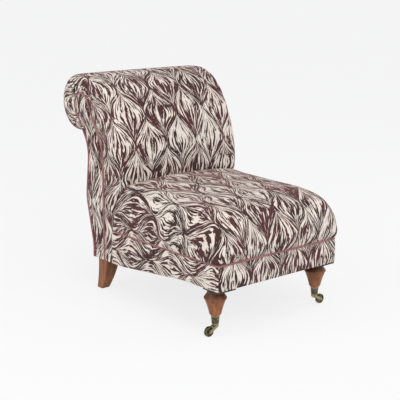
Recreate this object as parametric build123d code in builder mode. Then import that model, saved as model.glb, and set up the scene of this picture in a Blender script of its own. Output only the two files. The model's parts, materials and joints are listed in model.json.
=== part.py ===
"""Armless scroll-back slipper chair on brass cup castors.

Millimetres, +Z up, the sitter faces -Y. The origin lies on the floor under the middle of the
chair's outer box. Left and right are those of someone who stands in front of the chair.
"""

import os
from math import acos, cos, degrees, radians, sin, tan

from build123d import *

os.makedirs("parts", exist_ok=True)

# Seat box: heights from the floor, lengths from the roundest point of the front edge
seat_width = 600.0          # across the covered sides
seat_depth = 652.0          # front edge to the front of the back
front_base = 182.0          # floor to the hem of the front border
border_height = 90.0        # hem to the piping line at the front
hem_drop = 38.0             # how far the hem falls towards the rear
hem_flat = 190.0            # level length of the hem behind the front border
hem_lead = 47.0             # where the fall ends, ahead of the back
hem_round = 600.0           # easing radius at both ends of the fall
corner_round = 10.0         # plan radius of the front corners
border_return = 50.0        # length of the front border past each corner
seat_overhang = 17.5        # how far the front edge swells past the border
cover = 6.0                 # wadding and cloth over the timber
rail_thick = 25.0           # seat rails and back posts
rear_rail_thick = 42.0
block_leg = 90.0            # corner block, along each rail
block_height = 45.0
block_screw_radius = 2.5
block_screw_length = 46.0
block_screw_inset = 58.0    # from the corner, along the rail

# Seat pad
belly_height = 36.0         # piping line to the roundest point of the front
belly_round = 70.0          # radius where the front face draws in to the piping
front_rise = 113.0          # piping line to the roll of the front edge
front_roll = 62.0           # radius of the rolled front edge
brow_run = 71.0             # front edge to the brow behind the roll
brow_rise = 156.0
brow_round = 170.0
crest_run = 170.0           # front edge to the point where the top levels out
crest_rise = 172.0
crest_round = 600.0
seat_rise_rear = 194.0      # piping line to the shoulder at the back
front_crown = 6.0           # middle of the roll above its ends
brow_crown = 12.0
crest_crown = 16.0
seat_crown = 18.0           # middle of the seat above its shoulders, at the back
side_roll = 45.0            # radius of the side edges
piping_radius = 3.5
piping_proud = 2.0          # how far the piping stands out of the cover

# Springs under the seat pad
spring_count = 5
spring_spacing = 100.0
spring_half_width = 25.0
spring_pitch = 36.0
spring_bend_gap = 0.5       # straight wire left between two bends
wire_radius = 2.0
clip_thick = 1.2
clip_width = 16.0
platform_thick = 2.0

# Back, measured from the front of the back and up from the piping line
pad_forward = 67.0          # how far the inside back stands out over the seat
pad_foot = 168.0            # where the inside back tucks down on the seat
shoulder_set = 13.0
shoulder_above = 34.0       # shoulder of the inside back over the scroll's centre
lean_height = 200.0         # the inside back leans from this far below its shoulder
crest_set = 115.0
bend_round = 300.0
shoulder_round = 180.0
back_crown = 8.0            # middle of the inside back ahead of its sides
shoulder_crown = 5.0
back_side_round = 22.0
roll_behind = 31.0          # centre of the scroll behind the facing's round head
roll_above = 9.0            # and over it
roll_radius = 114.0
roll_underside = 41.0       # flat under the scroll, ahead of its centre
neck_fall = 16.0            # degrees, slope of the plane where pad and scroll meet
facing_foot_front = 61.0
facing_foot_rear = 141.0
facing_waist_rear = 140.0
facing_waist_rise = -72.0
facing_swell_rear = 183.0
facing_swell_rise = 116.0
facing_neck_front = 57.0
facing_neck_rear = 159.0
facing_neck_rise = 320.0
facing_round = 140.0
head_set = 205.0            # centre of the facing's round head
head_rise = 485.0
head_radius = 50.0
post_inset = 5.0            # timber stands back from the facing outline
stuffing_rail_rise = 200.0
stuffing_rail_height = 50.0
top_rail_thick = 24.0
top_rail_height = 50.0
top_rail_drop = 96.0        # below the scroll rail, along the neck
neck_lean = 32.0            # degrees off the vertical
scroll_rail_radius = 30.0
strap_width = 50.0
strap_thick = 2.4
strap_first = 60.0
strap_step = 105.0
strap_count = 3

# Front legs
leg_from_side = 43.0        # leg axis in from the border
leg_from_front = 64.5
plate_size = 86.0
plate_thick = 6.0
plate_inset = 2.0
neck_radius = 30.5
neck_height = 16.0
bead_radius = 42.0
bead_height = 9.0
bead_drop = 30.0            # plate to the top of the bead
collar_radius = 39.5
taper_radius = 22.0
taper_belly = 1.6           # how far the taper hollows
ankle_height = 7.0
bolt_radius = 4.0
bolt_in_leg = 40.0
bolt_in_block = 36.0

# Rear legs
rear_leg_from_side = 33.0   # outer face in from the border
rear_leg_top_width = 68.0
rear_leg_foot_width = 36.0
rear_leg_top_set = 91.0
rear_leg_top_depth = 61.0
rear_leg_foot_set = 131.7
rear_leg_foot_depth = 35.0
rear_leg_front_bow = 9.5
rear_leg_rear_bow = 5.0
rear_leg_edge = 2.0

# Castors
wheel_radius = 19.0
wheel_width = 13.0
wheel_tread_round = 3.0
wheel_recess = 2.2
wheel_rim = 4.0
wheel_hub_radius = 6.0
trail = 30.0                # swivel axis to axle
axle_radius = 2.5
axle_head_radius = 4.2
axle_head_height = 1.5
horn_thick = 3.2
horn_side_gap = 0.5
horn_eye_radius = 6.5
boss_radius = 10.4
boss_height = 10.0
shoulder_half = 7.3         # half length of the horn's shoulder on the boss
heel_set = 3.1              # centre of the horn's heel, behind the swivel axis
cup_height = 32.0
cup_base = 42.0             # floor to the underside of the cup
cup_top_radius = 16.2
cup_foot_radius = 12.8
cup_wall = 2.0
cup_floor = 3.0
pin_radius = 3.5
pin_head_radius = 5.5
pin_head_height = 1.2
cup_screw_radius = 1.5
cup_screw_length = 9.0
cup_screw_drop = 9.0

# Dust cover
dust_thick = 1.2
dust_gap = 2.0              # short of the rear rail
plate_gap = 1.0             # round the leg plates

# Clearances
rail_set_in = 1.0           # rear rail to the rear face of the posts
near = 1.0                  # closer than this counts as lying on a plane
soft_gap = 0.3              # padding to its neighbours
turn_gap = 0.3              # faces that turn past each other
run_fit = 0.06              # radial, pins that turn in bores
bolt_fit = 0.1              # radial, bolts in drilled timber

# Places worked out from the sizes above
roll_set = head_set + roll_behind
roll_rise = head_rise + roll_above
shoulder_rise = roll_rise + shoulder_above
pad_bend = shoulder_rise - lean_height
overall_depth = seat_depth + roll_set + roll_radius
front_y = -overall_depth / 2
back_y = front_y + seat_depth
border_front = front_y + seat_overhang
frame_front = border_front + cover
half_seat = seat_width / 2
back_width = seat_width
half_frame = half_seat - cover
rail_inner = half_frame - rail_thick
deck = front_base + border_height
rear_base = front_base - hem_drop
pad_base = deck + 2 * piping_radius + 2 * soft_gap
rear_rail_back = back_y + facing_waist_rear - post_inset - rail_set_in
rear_rail_front = rear_rail_back - rear_rail_thick
neck_y = back_y + roll_set - roll_underside
neck_z = deck + roll_rise - roll_radius
leg_x = half_seat - leg_from_side
leg_y = border_front + leg_from_front
plate_base = front_base - plate_thick
rear_leg_x = half_seat - rear_leg_from_side
cup_top = cup_base + cup_height
axle_x = leg_x + trail
wheel_side = wheel_width / 2 + horn_side_gap
horn_side = wheel_side + horn_thick
boss_top = cup_base - turn_gap
boss_base = boss_top - boss_height


def up(rise):
    """Height above the floor of a point that is measured from the piping line."""
    return deck + rise


def at(set_back, rise):
    """Point of the back in side view."""
    return (back_y + set_back, up(rise))


def write(piece, name):
    """Label a finished piece and write its file."""
    piece.part.label = name
    export_step(piece.part, f"parts/{name}.step")


def write_pair(right_piece, stem):
    """Write a right-hand piece and its mirror image."""
    write(right_piece, f"right_{stem}")
    with BuildPart() as left_piece:
        mirror(right_piece.part, about=Plane.YZ)
    write(left_piece, f"left_{stem}")


def leg_plane(x):
    """Upright plane through a front leg's axis, with local Y up."""
    return Plane(origin=(x, leg_y, 0), x_dir=(1, 0, 0), z_dir=(0, -1, 0))


def hem_points(y_end):
    """Lower edge of the seat in side view."""
    fall_start = (border_front + hem_flat, front_base)
    fall_end = (back_y - hem_lead, rear_base)
    return [(border_front, front_base), fall_start, fall_end, (y_end, rear_base)]


def head_touch(point, turn):
    """Point where a line from a point of the back touches the facing's round head, on one side."""
    head = Vector(*at(head_set, head_rise))
    reach = Vector(*point) - head
    swing = turn * degrees(acos(head_radius / reach.length))
    return head + reach.normalized().rotate(Axis.Z, swing) * head_radius


def facing_face(inset):
    """Side outline of the back, drawn in by inset, standing on the rear hem line."""
    base = rear_base - inset
    neck_front = at(facing_neck_front, facing_neck_rise)
    neck_rear = at(facing_neck_rear, facing_neck_rise)
    swell = at(facing_swell_rear, facing_swell_rise)
    waist = at(facing_waist_rear, facing_waist_rise)
    front_touch = head_touch(neck_front, -1)
    rear_touch = head_touch(neck_rear, 1)
    with BuildSketch(Plane.YZ) as outline:
        with BuildLine():
            Polyline(
                front_touch,
                neck_front,
                (back_y + facing_foot_front, base),
                (back_y + facing_foot_rear, base),
                waist,
                swell,
                neck_rear,
                rear_touch,
            )
            ThreePointArc(rear_touch, at(head_set, head_rise + head_radius), front_touch)
        make_face()
        for corner in (neck_front, neck_rear, swell, waist):
            nearest = outline.vertices().sort_by_distance(Vector(*corner))[0]
            fillet(nearest, facing_round)
        if inset > 0:
            offset(amount=-inset)
    return outline.sketch.face()


def facing_prism(inset, x_from, x_to):
    """Side outline of the back as a block between two planes across the chair."""
    with BuildPart() as prism:
        extrude(facing_face(inset).moved(Location((x_from, 0, 0))), amount=x_to - x_from, dir=(1, 0, 0))
    return prism.part


def seat_section(x, middle, grow):
    """Side view of the seat pad at a plane across the chair. middle is 1 at the crown, 0 at the ends."""
    foot = (border_front - grow, pad_base - grow)
    rear = (back_y - soft_gap + grow, up(seat_rise_rear) + middle * seat_crown + grow)
    with BuildSketch(Plane.YZ.offset(x)) as section:
        with BuildLine():
            FilletPolyline(
                foot,
                (front_y - grow, up(belly_height)),
                (front_y - grow, up(front_rise) + middle * front_crown + grow),
                (front_y + brow_run, up(brow_rise) + middle * brow_crown + grow),
                (front_y + crest_run, up(crest_rise) + middle * crest_crown + grow),
                rear,
                radius=[belly_round, front_roll, brow_round, crest_round],
            )
            Polyline(rear, (rear[0], pad_base - grow), foot)
        make_face()
    return section.sketch


def seat_form(grow):
    """Crowned seat pad with a rolled front edge and rounded sides."""
    half = half_seat + grow
    with BuildPart() as form:
        loft([seat_section(-half, 0, grow), seat_section(0, 1, grow), seat_section(half, 0, grow)])
        ends = form.faces().filter_by(Axis.X)
        rim = ends.edges().filter_by(lambda edge: edge.center().Z > pad_base + near)
        fillet(rim.filter_by(lambda edge: edge.center().Y < back_y - near), side_roll)
    return form.part


def inside_back(middle):
    """Foot, bend and shoulder of the inside back, and the point where the neck plane meets it."""
    foot = at(-pad_forward - middle * back_crown, pad_foot)
    bend = at(-pad_forward - middle * back_crown, pad_bend)
    shoulder = at(shoulder_set - middle * shoulder_crown, shoulder_rise)
    run = (shoulder[0] - bend[0]) / (shoulder[1] - bend[1])
    fall = tan(radians(neck_fall))
    parting_z = (neck_z + fall * (neck_y - bend[0] + run * bend[1])) / (1 + fall * run)
    return foot, bend, shoulder, (bend[0] + run * (parting_z - bend[1]), parting_z)


def pad_section(x, middle):
    """Side view of the inside-back pad, from the seat up to the neck plane."""
    foot, bend, shoulder, parting = inside_back(middle)
    inner = back_y + facing_foot_front + post_inset
    neck_inner = back_y + head_set - 2 * head_radius + rail_thick
    with BuildSketch(Plane.YZ.offset(x)) as section:
        with BuildLine():
            FilletPolyline(foot, bend, parting, radius=[bend_round])
            Polyline(
                parting,
                (neck_inner, neck_z + tan(radians(neck_fall)) * (neck_y - neck_inner)),
                (inner + rail_thick / 2, up(facing_neck_rise)),
                (inner, pad_base),
                (back_y, pad_base),
                (back_y, up(pad_foot)),
                foot,
            )
        make_face()
    return section.sketch


def scroll_section(x, middle):
    """Side view of the scroll, over the top and round to its flat underside."""
    foot, bend, shoulder, parting = inside_back(middle)
    roll_top = at(roll_set, roll_rise + roll_radius)
    roll_rear = at(roll_set + roll_radius, roll_rise)
    roll_foot = at(roll_set, roll_rise - roll_radius)
    with BuildSketch(Plane.YZ.offset(x)) as section:
        with BuildLine():
            FilletPolyline(
                parting,
                shoulder,
                at(crest_set, roll_rise + roll_radius),
                roll_top,
                radius=[shoulder_round, shoulder_round],
            )
            TangentArc(roll_top, roll_rear, tangent=(1, 0))
            TangentArc(roll_rear, roll_foot, tangent=(0, -1))
            Polyline(roll_foot, (neck_y, neck_z), parting)
        make_face()
    return section.sketch


def back_form(section_at, is_rim):
    """Padding across the back from its side view, with a crown and rounded ends."""
    half = back_width / 2
    with BuildPart() as form:
        loft([section_at(-half, 0), section_at(0, 1), section_at(half, 0)])
        rim = form.faces().filter_by(Axis.X).edges().filter_by(is_rim)
        fillet(rim, back_side_round)
    return form.part


def pad_rim(edge):
    """True for the front edges of the inside-back pad's ends."""
    return edge.center().Y < back_y - near and edge.center().Z > up(pad_foot) + near


def scroll_rim(edge):
    """True for the outer edges of the scroll's ends."""
    return edge.center().Z > inside_back(0)[3][1]


# Seat rails
with BuildPart() as front_rail:
    with BuildSketch(Plane.XY.offset(front_base)):
        with Locations((0, frame_front + rail_thick / 2)):
            Rectangle(2 * rail_inner, rail_thick)
    extrude(amount=border_height)

with BuildPart() as rear_rail:
    with BuildSketch(Plane.XY.offset(rear_base)):
        with Locations((0, (rear_rail_front + rear_rail_back) / 2)):
            Rectangle(2 * rail_inner, rear_rail_thick)
    extrude(amount=deck - rear_base)

with BuildPart() as right_side_rail:
    rail_end = back_y + facing_foot_front + rail_thick
    with BuildSketch(Plane.YZ.offset(rail_inner)):
        with BuildLine():
            hem = FilletPolyline(*hem_points(rail_end), radius=hem_round)
            Polyline(hem @ 1, (rail_end, deck), (border_front, deck), hem @ 0)
        make_face()
    extrude(amount=rail_thick)
    with BuildSketch(Plane.XY.offset(rear_base)) as rail_plan:
        with Locations((rail_inner, frame_front)):
            Rectangle(rail_thick, rail_end - frame_front, align=Align.MIN)
        front_corner = rail_plan.vertices().sort_by_distance(Vector(half_frame, frame_front))[0]
        fillet(front_corner, corner_round - cover)
    extrude(amount=deck - rear_base, mode=Mode.INTERSECT)
    add(facing_prism(post_inset, rail_inner, half_frame), mode=Mode.SUBTRACT)

# Back frame
with BuildPart() as right_back_post:
    add(facing_prism(post_inset, rail_inner, half_frame))

with BuildPart() as stuffing_rail:
    with BuildSketch(Plane.XY.offset(up(stuffing_rail_rise))):
        with Locations((0, back_y + facing_foot_front + post_inset + rail_thick / 2)):
            Rectangle(2 * rail_inner, rail_thick)
    extrude(amount=stuffing_rail_height)

head_y, head_z = at(head_set, head_rise)
with BuildPart() as scroll_rail:
    with BuildSketch(Plane.YZ.offset(-rail_inner)):
        with Locations((head_y, head_z)):
            Circle(scroll_rail_radius)
    extrude(amount=2 * rail_inner)

lean = radians(neck_lean)
with BuildPart() as top_rail:
    with BuildSketch(Plane.YZ.offset(-rail_inner)):
        with Locations(
            Location(
                (head_y - top_rail_drop * sin(lean), head_z - top_rail_drop * cos(lean)),
                -neck_lean,
            )
        ):
            Rectangle(top_rail_thick, top_rail_height)
    extrude(amount=2 * rail_inner)

with BuildPart() as back_webbing:
    add(facing_prism(post_inset - strap_thick, -half_frame, half_frame))
    add(facing_prism(post_inset, -half_frame, half_frame), mode=Mode.SUBTRACT)
    with BuildSketch(Plane.YZ.offset(-half_frame)):
        for strap in range(strap_count):
            with Locations(at(facing_neck_front, strap_first + strap * strap_step)):
                Rectangle(2 * rail_thick, strap_width)
    extrude(amount=2 * half_frame, mode=Mode.INTERSECT)

# Corner blocks and their screws
screw_spots = []
for side in (-1, 1):
    front_z = front_base + block_height / 2
    rear_z = rear_base + cover + block_height / 2
    front_line = frame_front + rail_thick
    screw_x = side * (rail_inner - block_screw_inset)
    reach = block_leg - block_screw_inset
    reach_x = side * (rail_inner - reach)
    outward = (side, 0, 0)
    screw_spots.append(Plane((reach_x, front_line + block_screw_inset, front_z), z_dir=outward))
    screw_spots.append(Plane((screw_x, front_line + reach, front_z), z_dir=(0, -1, 0)))
    screw_spots.append(Plane((reach_x, rear_rail_front - block_screw_inset, rear_z), z_dir=outward))
    screw_spots.append(Plane((screw_x, rear_rail_front - reach, rear_z), z_dir=(0, 1, 0)))


def screws(radius):
    """Corner block screws, or their holes."""
    with BuildPart() as shanks:
        for spot in screw_spots:
            with BuildSketch(spot):
                Circle(radius)
            extrude(amount=block_screw_length)
    return shanks.part


def leg_bolts(radius):
    """Front leg bolts, or their holes."""
    with BuildPart() as studs:
        with BuildSketch(Plane.XY.offset(plate_base - bolt_in_leg)):
            with Locations((-leg_x, leg_y), (leg_x, leg_y)):
                Circle(radius)
        extrude(amount=bolt_in_leg + plate_thick + bolt_in_block)
    return studs.part


def rear_bolts(radius):
    """Rear leg bolts, or their holes."""
    bolt_x = rear_leg_x - rear_leg_top_width / 2
    bolt_y = (rear_rail_front + rear_rail_back) / 2
    with BuildPart() as studs:
        with BuildSketch(Plane.XY.offset(rear_base - bolt_in_leg)):
            with Locations((-bolt_x, bolt_y), (bolt_x, bolt_y)):
                Circle(radius)
        extrude(amount=bolt_in_leg + bolt_in_block)
    return studs.part


with BuildPart() as corner_blocks:
    for side in (-1, 1):
        with BuildSketch(Plane.XY.offset(front_base)):
            with BuildLine():
                Polyline(
                    (side * rail_inner, frame_front + rail_thick),
                    (side * (rail_inner - block_leg), frame_front + rail_thick),
                    (side * rail_inner, frame_front + rail_thick + block_leg),
                    close=True,
                )
            make_face()
        extrude(amount=block_height)
        with BuildSketch(Plane.XY.offset(rear_base + cover)):
            with BuildLine():
                Polyline(
                    (side * rail_inner, rear_rail_front),
                    (side * (rail_inner - block_leg), rear_rail_front),
                    (side * rail_inner, rear_rail_front - block_leg),
                    close=True,
                )
            make_face()
        extrude(amount=block_height)
    add(screws(block_screw_radius + bolt_fit), mode=Mode.SUBTRACT)
    add(leg_bolts(bolt_radius + bolt_fit), mode=Mode.SUBTRACT)

for rail in (front_rail, rear_rail, right_side_rail, right_back_post):
    with rail:
        add(screws(block_screw_radius + bolt_fit), mode=Mode.SUBTRACT)
with rear_rail:
    add(rear_bolts(bolt_radius + bolt_fit), mode=Mode.SUBTRACT)

with BuildPart() as corner_block_screws:
    add(screws(block_screw_radius))
with BuildPart() as front_leg_bolts:
    add(leg_bolts(bolt_radius))
with BuildPart() as rear_leg_bolts:
    add(rear_bolts(bolt_radius))

write(front_rail, "front_seat_rail")
write(rear_rail, "rear_seat_rail")
write_pair(right_side_rail, "seat_rail")
write_pair(right_back_post, "back_post")
write(stuffing_rail, "stuffing_rail")
write(scroll_rail, "scroll_rail")
write(top_rail, "top_rail")
write(back_webbing, "back_webbing")
write(corner_blocks, "corner_blocks")
write(corner_block_screws, "corner_block_screws")
write(front_leg_bolts, "front_leg_bolts")
write(rear_leg_bolts, "rear_leg_bolts")

# Zigzag springs from rail to rail, with their clips
spring_front = frame_front + rail_thick / 2
spring_rear = rear_rail_front + rail_thick / 2
spring_rows = 2 * round((spring_rear - spring_front) / spring_pitch / 2)
row_step = (spring_rear - spring_front) / spring_rows
spring_z = deck + wire_radius
spring_places = [(index - (spring_count - 1) / 2) * spring_spacing for index in range(spring_count)]


def spring_route(x):
    """Zigzag wire of one spring, from its front bar to its rear bar."""
    corners = []
    for row in range(spring_rows + 1):
        swing = spring_half_width if row % 2 else -spring_half_width
        y = spring_front + row * row_step
        corners.append((x + swing, y, spring_z))
        corners.append((x - swing, y, spring_z))
    return corners


with BuildPart() as seat_springs:
    for place in spring_places:
        with BuildLine() as wire:
            FilletPolyline(*spring_route(place), radius=row_step / 2 - spring_bend_gap)
        with BuildSketch(Plane(wire.line @ 0, z_dir=wire.line % 0)):
            Circle(wire_radius)
        sweep(path=wire.line)
write(seat_springs, "seat_springs")

with BuildPart() as spring_clips:
    for end in (spring_front, spring_rear):
        for place in spring_places:
            with BuildSketch(Plane.YZ.offset(place - clip_width / 2)):
                with Locations((end, spring_z)):
                    Circle(wire_radius + run_fit + clip_thick)
                with Locations((end, spring_z - wire_radius / 2)):
                    Rectangle(2 * (wire_radius + run_fit + clip_thick), wire_radius)
                with Locations((end, spring_z)):
                    Circle(wire_radius + run_fit, mode=Mode.SUBTRACT)
                with Locations((end, deck - wire_radius)):
                    Rectangle(6 * wire_radius, 2 * wire_radius, mode=Mode.SUBTRACT)
            extrude(amount=clip_width)
write(spring_clips, "spring_clips")

with BuildPart() as spring_platform:
    with BuildSketch(Plane.XY.offset(pad_base - platform_thick)):
        with Locations((0, frame_front + cover)):
            Rectangle(
                2 * (half_frame - cover - piping_radius),
                back_y + facing_foot_front - frame_front - 2 * cover,
                align=(Align.CENTER, Align.MIN),
            )
    extrude(amount=platform_thick)
write(spring_platform, "spring_platform")

# Seat pad, piping and border
with BuildPart() as seat_pad:
    add(seat_form(0))
write(seat_pad, "seat_pad")

piping_side = half_seat + piping_proud - piping_radius
piping_front = border_front - piping_proud + piping_radius
with BuildPart() as seat_piping:
    with BuildLine(Plane.XY.offset(deck + piping_radius + soft_gap)) as welt:
        FilletPolyline(
            (-piping_side, back_y),
            (-piping_side, piping_front),
            (piping_side, piping_front),
            (piping_side, back_y),
            radius=corner_round,
        )
    with BuildSketch(Plane(welt.line @ 0, z_dir=welt.line % 0)):
        Circle(piping_radius)
    sweep(path=welt.line)
write(seat_piping, "seat_piping")

border_seam = border_front + border_return
with BuildPart() as front_border:
    with BuildSketch(Plane.XY.offset(front_base)) as band:
        with Locations((0, border_front)):
            Rectangle(seat_width, border_seam - border_front, align=(Align.CENTER, Align.MIN))
        fillet(band.vertices().group_by(Axis.Y)[0], corner_round)
        with BuildSketch(mode=Mode.SUBTRACT) as core:
            with Locations((0, frame_front)):
                Rectangle(2 * half_frame, border_seam - border_front, align=(Align.CENTER, Align.MIN))
            fillet(core.vertices().group_by(Axis.Y)[0], corner_round - cover)
    extrude(amount=border_height)
write(front_border, "front_border")

with BuildPart() as right_border:
    with BuildSketch(Plane.YZ.offset(half_frame)):
        with BuildLine():
            hem = FilletPolyline(*hem_points(back_y), radius=hem_round)
            Polyline(hem @ 1, (back_y, deck), (border_front, deck), hem @ 0)
        make_face()
        with Locations((border_seam, 0)):
            Rectangle(
                seat_depth + border_height,
                2 * deck,
                align=(Align.MIN, Align.CENTER),
                mode=Mode.INTERSECT,
            )
    extrude(amount=cover)
write_pair(right_border, "border")

with BuildPart() as right_back_border:
    with BuildSketch(Plane.YZ.offset(half_frame)):
        with Locations((back_y, rear_base)):
            Rectangle(facing_foot_front + rail_thick, pad_base - rear_base, align=Align.MIN)
    extrude(amount=cover)
    add(facing_prism(0, rail_inner, half_seat), mode=Mode.SUBTRACT)
write_pair(right_back_border, "back_border")

# Back padding, in two pieces that meet along the neck plane
with BuildPart() as back_pad:
    add(back_form(pad_section, pad_rim))
    add(facing_prism(0, -half_seat, half_seat), mode=Mode.SUBTRACT)
    add(seat_form(soft_gap), mode=Mode.SUBTRACT)
write(back_pad, "back_pad")

with BuildPart() as scroll_pad:
    add(back_form(scroll_section, scroll_rim))
    add(facing_prism(0, rail_inner, half_seat), mode=Mode.SUBTRACT)
    add(facing_prism(0, -half_seat, -rail_inner), mode=Mode.SUBTRACT)
    add(scroll_rail.part, mode=Mode.SUBTRACT)
    add(top_rail.part, mode=Mode.SUBTRACT)
write(scroll_pad, "scroll_pad")

# Facings, their piping and the outside back
piping_lane = 2 * (piping_radius + soft_gap)
with BuildPart() as right_facing:
    add(facing_prism(piping_lane, half_frame, half_seat))
write_pair(right_facing, "facing")

with BuildPart() as right_facing_piping:
    lane = facing_face(piping_radius + soft_gap).moved(Location((half_seat - piping_proud, 0, 0)))
    lane_edges = lane.edges().filter_by(lambda edge: edge.center().Z > rear_base + near)
    lane_wire = Wire(lane_edges)
    with BuildSketch(Plane(lane_wire @ 0, z_dir=lane_wire % 0)):
        Circle(piping_radius)
    sweep(path=lane_wire)
write_pair(right_facing_piping, "facing_piping")

with BuildPart() as outside_back:
    add(facing_prism(0, -half_frame, half_frame))
    add(facing_prism(post_inset, -half_frame, half_frame), mode=Mode.SUBTRACT)
    with BuildSketch(Plane.YZ.offset(-half_frame)):
        with Locations((back_y + (facing_neck_front + facing_neck_rear) / 2, rear_base)):
            Rectangle(
                seat_depth,
                up(roll_rise - roll_radius) - soft_gap - rear_base,
                align=Align.MIN,
            )
    extrude(amount=2 * half_frame, mode=Mode.INTERSECT)
write(outside_back, "outside_back")

# Dust cover on the underside
plate_low_x = half_seat - plate_inset - plate_size
plate_low_y = border_front + plate_inset
with BuildPart() as dust_cover:
    cover_end = rear_rail_front - dust_gap
    with BuildSketch(Plane.YZ.offset(cover - half_frame)):
        with BuildLine():
            hem = FilletPolyline(*hem_points(cover_end), radius=hem_round)
            Line(hem @ 1, (cover_end, rear_base - dust_thick))
            under = [(y, z - dust_thick) for y, z in hem_points(cover_end)]
            FilletPolyline(*under, radius=hem_round)
            Line(under[0], hem @ 0)
        make_face()
        with Locations((frame_front + cover, 0)):
            Rectangle(2 * seat_depth, 2 * deck, align=(Align.MIN, Align.CENTER), mode=Mode.INTERSECT)
    extrude(amount=2 * (half_frame - cover))
    with BuildSketch(Plane.XY.offset(plate_base)):
        for side in (-1, 1):
            with Locations((side * (plate_low_x + plate_size / 2), plate_low_y + plate_size / 2)):
                Rectangle(plate_size + 2 * plate_gap, plate_size + 2 * plate_gap)
    extrude(amount=2 * plate_thick, mode=Mode.SUBTRACT)
write(dust_cover, "dust_cover")

# Front legs
with BuildPart() as right_front_leg_plate:
    with BuildSketch(Plane.XY.offset(plate_base)):
        with Locations((plate_low_x, plate_low_y)):
            Rectangle(plate_size, plate_size, align=Align.MIN)
    extrude(amount=plate_thick)
    fillet(right_front_leg_plate.edges().filter_by(Axis.Z), corner_round / 2)
    add(leg_bolts(bolt_radius + bolt_fit), mode=Mode.SUBTRACT)
write_pair(right_front_leg_plate, "front_leg_plate")

bead_top = plate_base - bead_drop
bead_foot = bead_top - bead_height
ankle_top = cup_top + ankle_height
tenon_foot = cup_base + cup_floor + pin_head_height + soft_gap
cup_slope = (cup_top_radius - cup_foot_radius) / cup_height


def cup_bore(z):
    """Inner radius of the castor cup at a height."""
    return cup_foot_radius - cup_wall + cup_slope * (z - cup_base)


with BuildPart() as right_front_leg:
    with BuildSketch(leg_plane(leg_x)):
        with BuildLine():
            taper_middle = (collar_radius + taper_radius) / 2 - taper_belly
            Polyline(
                (0, tenon_foot),
                (cup_bore(tenon_foot) - bolt_fit, tenon_foot),
                (cup_bore(cup_top) - bolt_fit, cup_top),
                (cup_top_radius, cup_top),
                (taper_radius, ankle_top),
            )
            ThreePointArc(
                (taper_radius, ankle_top),
                (taper_middle, (ankle_top + bead_foot) / 2),
                (collar_radius, bead_foot),
            )
            Line((collar_radius, bead_foot), (bead_radius - bead_height / 4, bead_foot))
            ThreePointArc(
                (bead_radius - bead_height / 4, bead_foot),
                (bead_radius, bead_foot + bead_height / 2),
                (bead_radius - bead_height / 4, bead_top),
            )
            Polyline(
                (bead_radius - bead_height / 4, bead_top),
                (neck_radius, plate_base - neck_height),
                (neck_radius, plate_base),
                (0, plate_base),
                (0, tenon_foot),
            )
        make_face()
    revolve(axis=Axis((leg_x, leg_y, 0), (0, 0, 1)))
    add(leg_bolts(bolt_radius + bolt_fit), mode=Mode.SUBTRACT)


def cup_screws(radius):
    """Two screws through the cup into the leg, or their holes."""
    z = cup_top - cup_screw_drop
    outside = cup_bore(z) + cup_wall
    with BuildPart() as shanks:
        for facing in (-1, 1):
            spot = Plane((leg_x, leg_y + facing * outside, z), z_dir=(0, -facing, 0))
            with BuildSketch(spot):
                Circle(radius)
            extrude(amount=cup_screw_length)
    return shanks.part


with right_front_leg:
    add(cup_screws(cup_screw_radius + bolt_fit), mode=Mode.SUBTRACT)
write_pair(right_front_leg, "front_leg")

# Rear legs
with BuildPart() as right_rear_leg:
    top_front = (back_y + rear_leg_top_set, rear_base)
    top_rear = (top_front[0] + rear_leg_top_depth, rear_base)
    foot_front = (back_y + rear_leg_foot_set, 0)
    foot_rear = (foot_front[0] + rear_leg_foot_depth, 0)
    with BuildSketch(Plane.YZ.offset(rear_leg_x - rear_leg_top_width)):
        with BuildLine():
            front_middle = ((top_front[0] + foot_front[0]) / 2 - rear_leg_front_bow, rear_base / 2)
            rear_middle = ((top_rear[0] + foot_rear[0]) / 2 - rear_leg_rear_bow, rear_base / 2)
            ThreePointArc(top_front, front_middle, foot_front)
            Line(foot_front, foot_rear)
            ThreePointArc(foot_rear, rear_middle, top_rear)
            Line(top_rear, top_front)
        make_face()
    extrude(amount=rear_leg_top_width)
    with BuildSketch(Plane.XZ):
        with BuildLine():
            Polyline(
                (rear_leg_x, 0),
                (rear_leg_x, rear_base),
                (rear_leg_x - rear_leg_top_width, rear_base),
                (rear_leg_x - rear_leg_foot_width, 0),
                close=True,
            )
        make_face()
    extrude(amount=overall_depth, both=True, mode=Mode.INTERSECT)
    uprights = right_rear_leg.edges().filter_by(lambda edge: near < edge.center().Z < rear_base - near)
    fillet(uprights, rear_leg_edge)
    add(rear_bolts(bolt_radius + bolt_fit), mode=Mode.SUBTRACT)
write_pair(right_rear_leg, "rear_leg")

# Castors, built on the right-hand side with the wheel trailing outwards
with BuildPart() as right_castor_cup:
    with BuildSketch(leg_plane(leg_x)):
        with BuildLine():
            Polyline(
                (pin_radius, cup_base),
                (cup_foot_radius, cup_base),
                (cup_top_radius, cup_top),
                (cup_bore(cup_top), cup_top),
                (cup_bore(cup_base + cup_floor), cup_base + cup_floor),
                (pin_radius, cup_base + cup_floor),
                close=True,
            )
        make_face()
    revolve(axis=Axis((leg_x, leg_y, 0), (0, 0, 1)))
    add(cup_screws(cup_screw_radius + bolt_fit), mode=Mode.SUBTRACT)
write_pair(right_castor_cup, "castor_cup")

with BuildPart() as right_cup_screws:
    add(cup_screws(cup_screw_radius))
write_pair(right_cup_screws, "cup_screws")

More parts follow.
